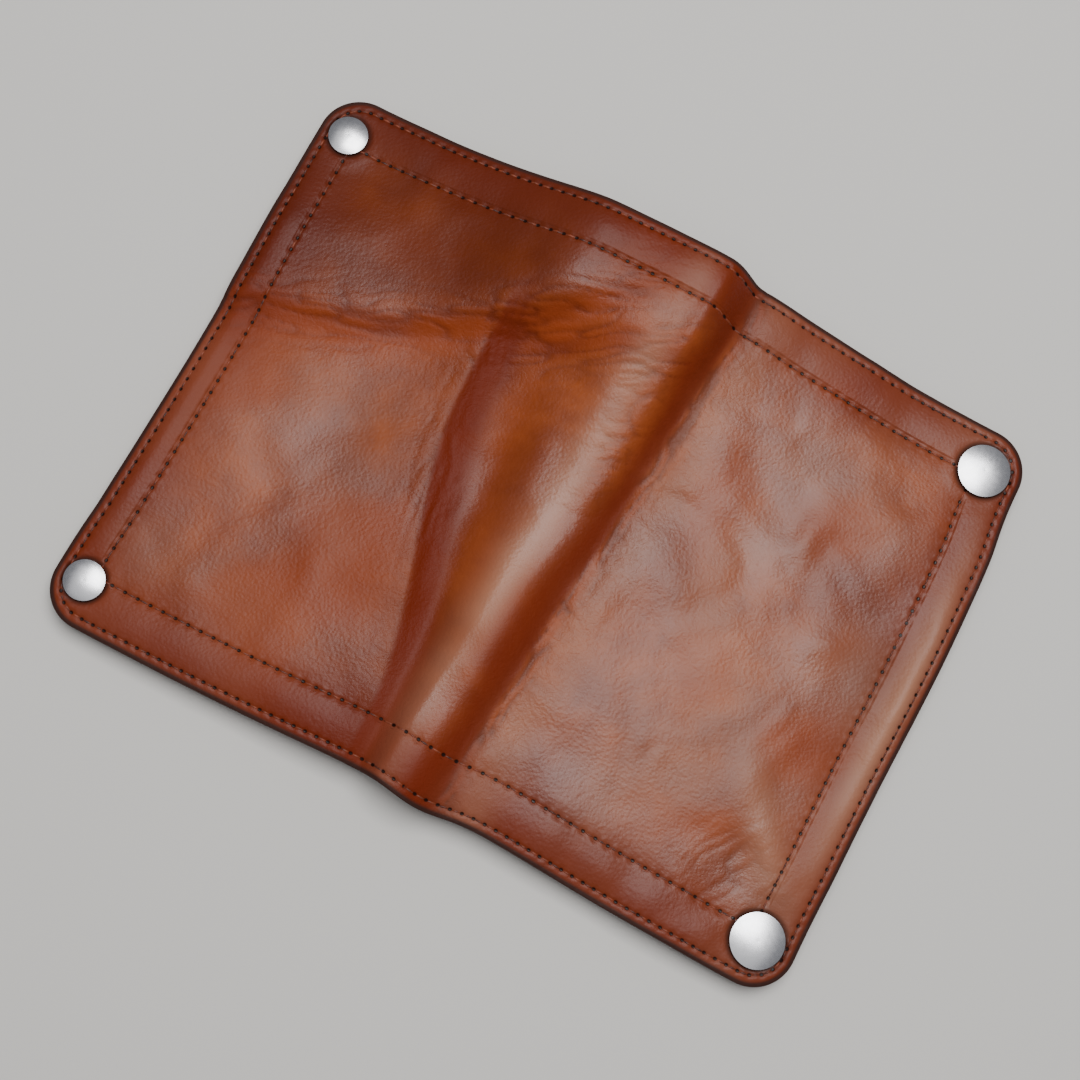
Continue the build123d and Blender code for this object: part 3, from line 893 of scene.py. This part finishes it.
# Every stitch stops this far from the middle of its holes
hole_gap = 0.32
edge_ends = []
for number in range(round(outer_length / outer_pitch)):
    edge_start = outer_place(number * outer_pitch + hole_gap)
    edge_end = outer_place((number + 1) * outer_pitch - hole_gap)
    edge_ends.append((*edge_start, *edge_end))
inner_ends = []
for number in range(round(inner_left / inner_pitch), round(inner_right / inner_pitch)):
    near = number * inner_pitch + hole_gap
    far = (number + 1) * inner_pitch - hole_gap
    inner_ends += [(near, row_y, far, row_y) for row_y in (-inner_y, inner_y)]
for number in range(round(-inner_y / inner_pitch), round(inner_y / inner_pitch)):
    near = number * inner_pitch + hole_gap
    far = (number + 1) * inner_pitch - hole_gap
    inner_ends += [(row_x, near, row_x, far) for row_x in (inner_left, inner_right)]


def clear_of_caps(ends):
    """Whether a stitch shows, which it doesn't under a cap."""
    middle_x = (ends[0] + ends[2]) / 2
    middle_y = (ends[1] + ends[3]) / 2
    return all(np.hypot(middle_x - x, middle_y - y) > radius - 0.6 for x, y, radius in cap_spots)


halves = (("back", -1), ("front", 1))
for half, side in halves:
    edge_half = [e for e in edge_ends if side * (e[0] + e[2] - 2 * spine_middle) > 0]
    inner_half = [e for e in inner_ends if side * (e[0] + e[2] - 2 * spine_middle) > 0]
    edge_shown = [e for e in edge_half if clear_of_caps(e)]
    inner_shown = [e for e in inner_half if clear_of_caps(e)]
    rows = (
        thread(f"edge_thread_{half}", edge_shown, shell_top, 1, 0.05),
        thread(f"inside_thread_{half}", edge_half, inside_face, -1, -0.05),
        thread(f"inner_thread_{half}", inner_shown, shell_top, 1, 0.05),
    )
    for row in rows:
        bend_round_spine(row, half)
    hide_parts(f"edge_stitch_{half}")
    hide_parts(f"inner_stitch_{half}")
    if side > 0:
        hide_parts("edge_stitch_spine")
        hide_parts("inner_stitch_spine")


# ---------------------------------------------------------------- lining and stiffening boards
# A thin pigskin lining is glued behind the outer leather and turned with it round the spine.
# A 0.4 mm board of pressed leather fibre lies between them on each cover and stops at the spine.
def plain_leather(name, dark, light, roughness, pore_scale):
    """Undyed or drum-dyed thin leather: matt, with open pores and slow changes of shade."""
    material, surface = new_material(name, Roughness=roughness)
    place = add_node(material, "TexCoord")
    wear = add_node(material, "Attribute", attribute_name="wear")
    worn = add_node(material, "SeparateXYZ", {0: (wear, "Vector")})
    clouds = add_node(material, "TexNoise", marks(place, 60.0, Detail=6.0, Roughness=0.6))
    ramp = add_node(material, "ValToRGB", {0: (clouds, "Fac")})
    set_stops(ramp, (0.3, dark), (0.7, light))
    # Browner at the burnished edge; the same value carries a painted shadow ring round the caps
    browned = {0: (worn, "X"), 6: (ramp, 0), 7: srgb("#3d2218")}
    edged = add_node(material, "Mix", browned, data_type="RGBA")
    grain = add_node(material, "TexVoronoi", marks(place, pore_scale), feature="SMOOTH_F1")
    swell = add_node(material, "TexNoise", marks(place, pore_scale / 2, Detail=5.0))
    height = add_node(material, "Math", {0: (grain, "Distance"), 1: (swell, "Fac")}, operation="ADD")
    bump = add_node(material, "Bump", {"Strength": 0.4, "Distance": 0.0002, "Height": (height, 0)})
    connect(material, surface, Base_Color=(edged, 2), Normal=(bump, 0))
    return material


def laid(low, high):
    """The top and bottom of a layer between two flat heights, laid over the worn shape."""
    return (lambda x, y: high + lie(x, y)), (lambda x, y: low + lie(x, y))


lining_step = 1.3
lining_rim = 0.22
lining_margin = 0.1
lining_low, lining_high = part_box("lining_back")
lining_left = grid_lines(left_edge + lining_rim + lining_margin, spine_middle, lining_step)
lining_right = grid_lines(spine_middle, right_edge - lining_rim - lining_margin, lining_step)
lining_x = np.concatenate([lining_left, lining_right[1:]])
lining_half_height = half_height - lining_rim - lining_margin
lining_y = grid_lines(-lining_half_height, lining_half_height, lining_step)
lining_top, lining_bottom = laid(lining_low.z / MM, lining_high.z / MM)
lining = Sheet(lining_x, lining_y, corner_radius, True, True, lining_top, lining_bottom, lining_rim)
lining_column = len(lining_left) - 1
lining_finish = plain_leather("pigskin_lining", "#5a3a26", "#7d573a", 0.7, 700.0)
for half, side in halves:
    lining_half = lining.piece(f"lining_leather_{half}", side, lining_column)
    lining_half.data.materials.append(lining_finish)
    bend_round_spine(lining_half, half)
    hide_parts(f"lining_{half}")
    if side > 0:
        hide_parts("lining_spine")

board_step = 2.0
board_rim = 0.15
board_corner = 1.0
board_finish = plain_leather("pressed_leather_board", "#6b5a48", "#8a7860", 0.9, 1200.0)
for half in ("back", "front"):
    low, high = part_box(f"stiffener_{half}")
    board_x = grid_lines(low.x / MM + board_rim, high.x / MM - board_rim, board_step)
    board_y = grid_lines(board_rim - board_half, board_half - board_rim, board_step)
    board_top, board_bottom = laid(low.z / MM, high.z / MM)
    board = Sheet(board_x, board_y, board_corner, True, True, board_top, board_bottom, board_rim)
    board_piece = board.piece(f"stiffening_board_{half}")
    board_piece.data.materials.append(board_finish)
    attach(board_piece, f"{half}_cover")
    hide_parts(f"stiffener_{half}")


# ---------------------------------------------------------------- slip pockets and card pockets
# Each cover has a long slip pocket, open towards the spine, and three card pockets in steps on it,
# cut from 0.5 to 1 mm vegetable-tanned leather. Sewn edges lie tight and the middle stands off
# a little, which leaves room for a passport cover or a card.
pocket_finish = plain_leather("vegetable_tanned_pocket_leather", "#5c2c16", "#8a4a28", 0.5, 900.0)
pocket_rim = 0.22


def pocket(name, node, body, seam, room, radius, step):
    """One pocket panel laid over the worn shape, with room behind it inside its seams."""
    low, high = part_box(node)
    to_left = abs(low.x) > abs(high.x)
    left = low.x / MM + pocket_rim
    right = high.x / MM - pocket_rim
    half = high.y / MM - pocket_rim

    def behind(x, y):
        free = (x - low.x / MM) if to_left else (high.x / MM - x)
        within = np.minimum(free, high.y / MM - np.abs(y)) - seam
        return high.z / MM - 0.02 - room * rise(within / 1.5) + lie(x, y)

    def face(x, y):
        return low.z / MM + lie(x, y)

    x_lines = grid_lines(left, right, step)
    y_lines = grid_lines(-half, half, step)
    round_left = to_left and radius > 1
    round_right = not to_left and radius > 1
    panel = Sheet(x_lines, y_lines, radius, round_left, round_right, behind, face, pocket_rim)
    piece = panel.piece(name)
    piece.data.materials.append(pocket_finish)
    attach(piece, body)
    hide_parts(node)


# How far the card stitches lie from the long edge of a pocket and start behind its mouth
card_row = 1.5
card_margin = 1.0
for half, side in halves:
    cover = f"{half}_cover"
    pocket(f"slip_pocket_panel_{half}", f"slip_pocket_{half}", cover, 5.0, 0.25, corner_radius, 1.5)
    card_ends = []
    card_faces = []
    for number in (1, 2, 3):
        node = f"card_pocket_{half}_{number}"
        pocket(f"card_panel_{half}_{number}", node, cover, 3.0, 0.15, 0.5, 1.8)
        low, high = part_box(node)
        mouth = abs(low.x if side > 0 else high.x) / MM
        if number < 3:
            next_low, next_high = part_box(f"card_pocket_{half}_{number + 1}")
            stop = abs(next_low.x if side > 0 else next_high.x) / MM
        else:
            stop = abs(high.x if side > 0 else low.x) / MM - card_margin
        row_y = high.y / MM - card_row
        for place in range(int((stop - mouth - card_margin) / inner_pitch)):
            near = side * (mouth + card_margin + place * inner_pitch + hole_gap)
            far = side * (mouth + card_margin + (place + 1) * inner_pitch - hole_gap)
            card_ends += [(near, row_y, far, row_y), (near, -row_y, far, -row_y)]
            card_faces += [low.z / MM, low.z / MM]
    flat_face = np.array(card_faces)[:, None]
    card_thread = thread(
        f"card_thread_{half}", card_ends, lambda x, y, z=flat_face: z + lie(x, y), -1, -0.05
    )
    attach(card_thread, cover)
    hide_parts(f"card_stitch_{half}")


# ---------------------------------------------------------------- press studs
# Four ring-spring press studs. The caps are drawn from brass sheet, nickel plated and polished;
# the sockets and studs inside are tumbled nickel, and two steel wires in each socket hold the stud.
def plated(name, colour, roughness, scratch):
    """Plated or drawn metal: a soft mirror broken by rubbing marks about 1 mm apart and finer ones."""
    material, surface = new_material(name, Metallic=1.0)
    surface.inputs["Base Color"].default_value = srgb(colour)
    place = add_node(material, "TexCoord")
    rubbed = add_node(material, "TexNoise", marks(place, 900.0, Detail=4.0, Roughness=0.6))
    duller = {0: (rubbed, "Fac"), 1: 0.3, 2: 0.7, 3: roughness - 0.02, 4: roughness + 0.03}
    spread = add_node(material, "MapRange", duller)
    scratched = {"Strength": scratch, "Distance": 0.00005, "Height": (rubbed, "Fac")}
    bump = add_node(material, "Bump", scratched)
    connect(material, surface, Roughness=(spread, 0), Normal=(bump, 0))
    return material


finishes = {
    "cap": plated("polished_nickel_plate", "#dcdbde", 0.27, 0.02),
    "socket": plated("tumbled_nickel_plate", "#bdbab4", 0.32, 0.3),
    "stud": plated("tumbled_nickel_plate_stud", "#bdbab4", 0.30, 0.3),
    "spring": plated("drawn_spring_steel", "#a8a9ad", 0.28, 0.2),
}
for node_name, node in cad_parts.items():
    kind = next((k for k in ("spring", "cap", "socket", "stud") if k in node_name.split("_")), None)
    if kind:
        node.data.materials.clear()
        node.data.materials.append(finishes[kind])


# ---------------------------------------------------------------- floor, light and camera
bpy.ops.object.select_all(action="DESELECT")
bpy.ops.mesh.primitive_plane_add(size=6.0)
floor = bpy.context.object
floor.name = "floor"
floor_finish, floor_surface = new_material("matt_pale_paper", Roughness=0.9)
floor_surface.inputs["Base Color"].default_value = srgb("#d8d5d0")
floor.data.materials.append(floor_finish)

world = bpy.data.worlds.new("studio")
world.use_nodes = True
world.node_tree.nodes["Background"].inputs["Color"].default_value = (0.9, 0.93, 1.0, 1.0)
world.node_tree.nodes["Background"].inputs["Strength"].default_value = 0.2
bpy.context.scene.world = world


def soft_light(name, place, target, size, power):
    """A square studio soft box."""
    data = bpy.data.lights.new(name, "AREA")
    data.shape = "SQUARE"
    data.size = size
    data.energy = power
    light = add_object(name, data)
    light.location = place
    light.rotation_mode = "QUATERNION"
    light.rotation_quaternion = (Vector(target) - Vector(place)).to_track_quat("-Z", "Y")


soft_light("key_soft_box", (0.0, 0.18, 0.80), (0.0, 0.1, 0), 0.48, 6.2)
soft_light("ceiling_soft_box", (-0.10, -0.15, 1.20), (-0.10, -0.15, 0), 1.5, 4.0)

camera_data = bpy.data.cameras.new("camera")
camera_data.lens = 55.0
camera_data.sensor_width = 36.0
camera_data.clip_start = 0.01
camera = add_object("camera", camera_data)
camera_place = Vector((0.00746, -0.07549, 0.37759))
camera_aim = Vector((-0.00051, -0.00403, 0.008))
camera_roll = radians(21.75)
camera.location = camera_place
camera.rotation_mode = "QUATERNION"
look = (camera_aim - camera_place).to_track_quat("-Z", "Y")
camera.rotation_quaternion = look @ Matrix.Rotation(camera_roll, 3, "Z").to_quaternion()
bpy.context.scene.camera = camera

bpy.context.view_layer.update()
